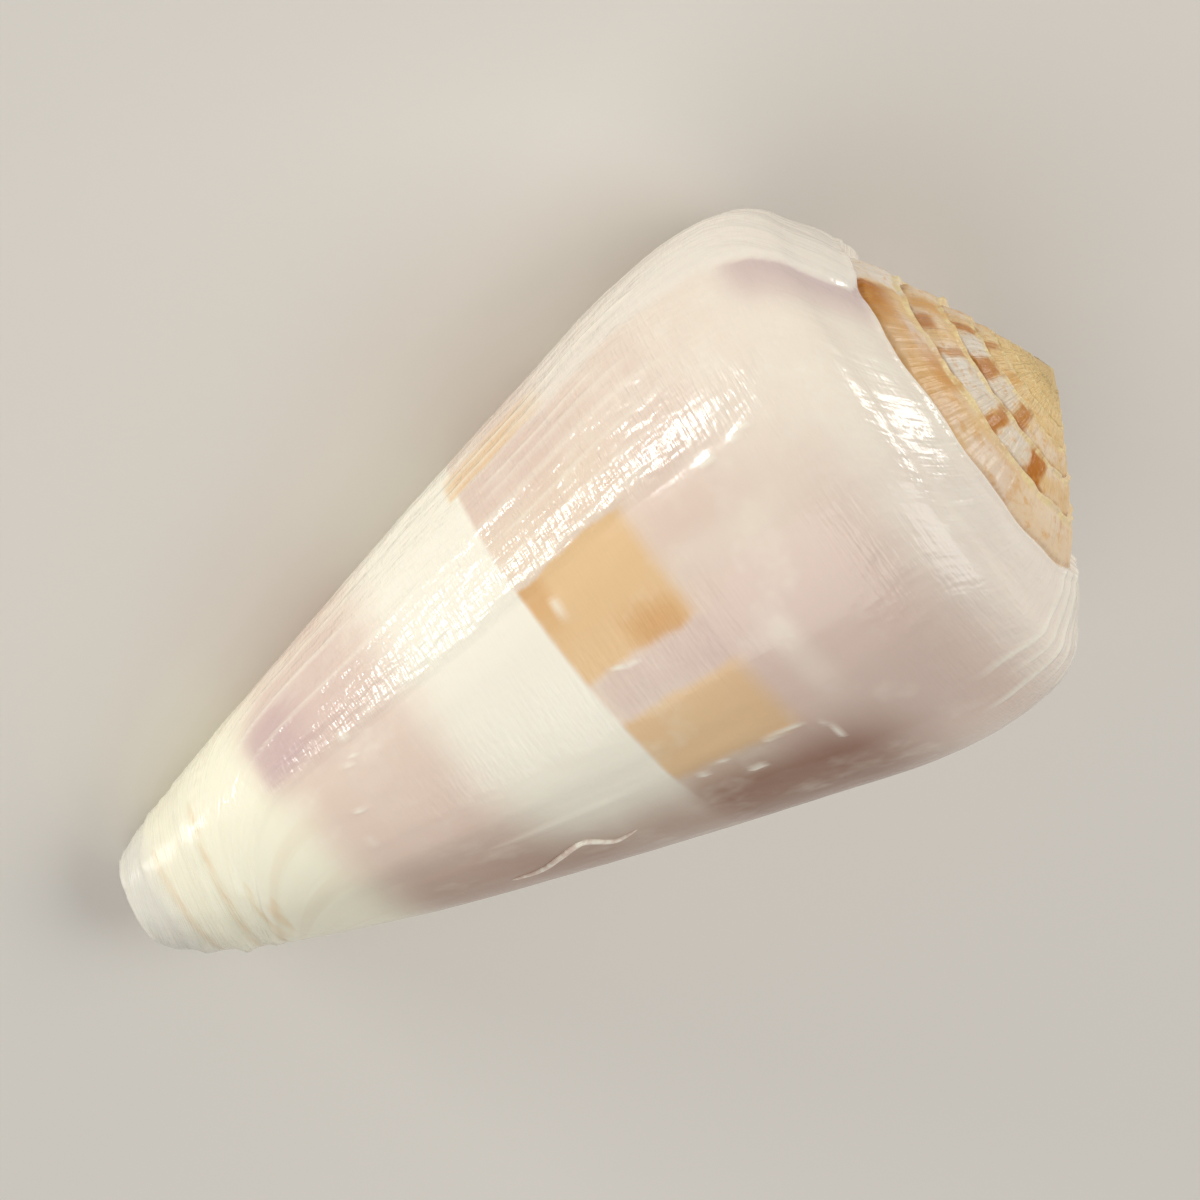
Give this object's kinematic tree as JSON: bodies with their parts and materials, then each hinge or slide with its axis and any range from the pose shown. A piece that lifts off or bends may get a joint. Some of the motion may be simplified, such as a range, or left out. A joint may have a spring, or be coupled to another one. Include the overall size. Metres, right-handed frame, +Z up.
{
  "type": "cone shell",
  "caption": "Heavy coiled seashell with a wide rounded shoulder, a low stepped spire and a long narrow slit down one side, lying on its lip.",
  "frame": {"origin": "middle of the bounding box, on the ground plane", "axes": "+X from the narrow front end towards the spire, +Z up, the shell lying on its lip"},
  "size_m": [0.061, 0.0332, 0.0314],
  "materials": {
    "shell": "polished natural shell, pale lilac and cream with tan patches"
  },
  "bodies": {
    "root": {"shell": "shell"}
  },
  "joints": []
}
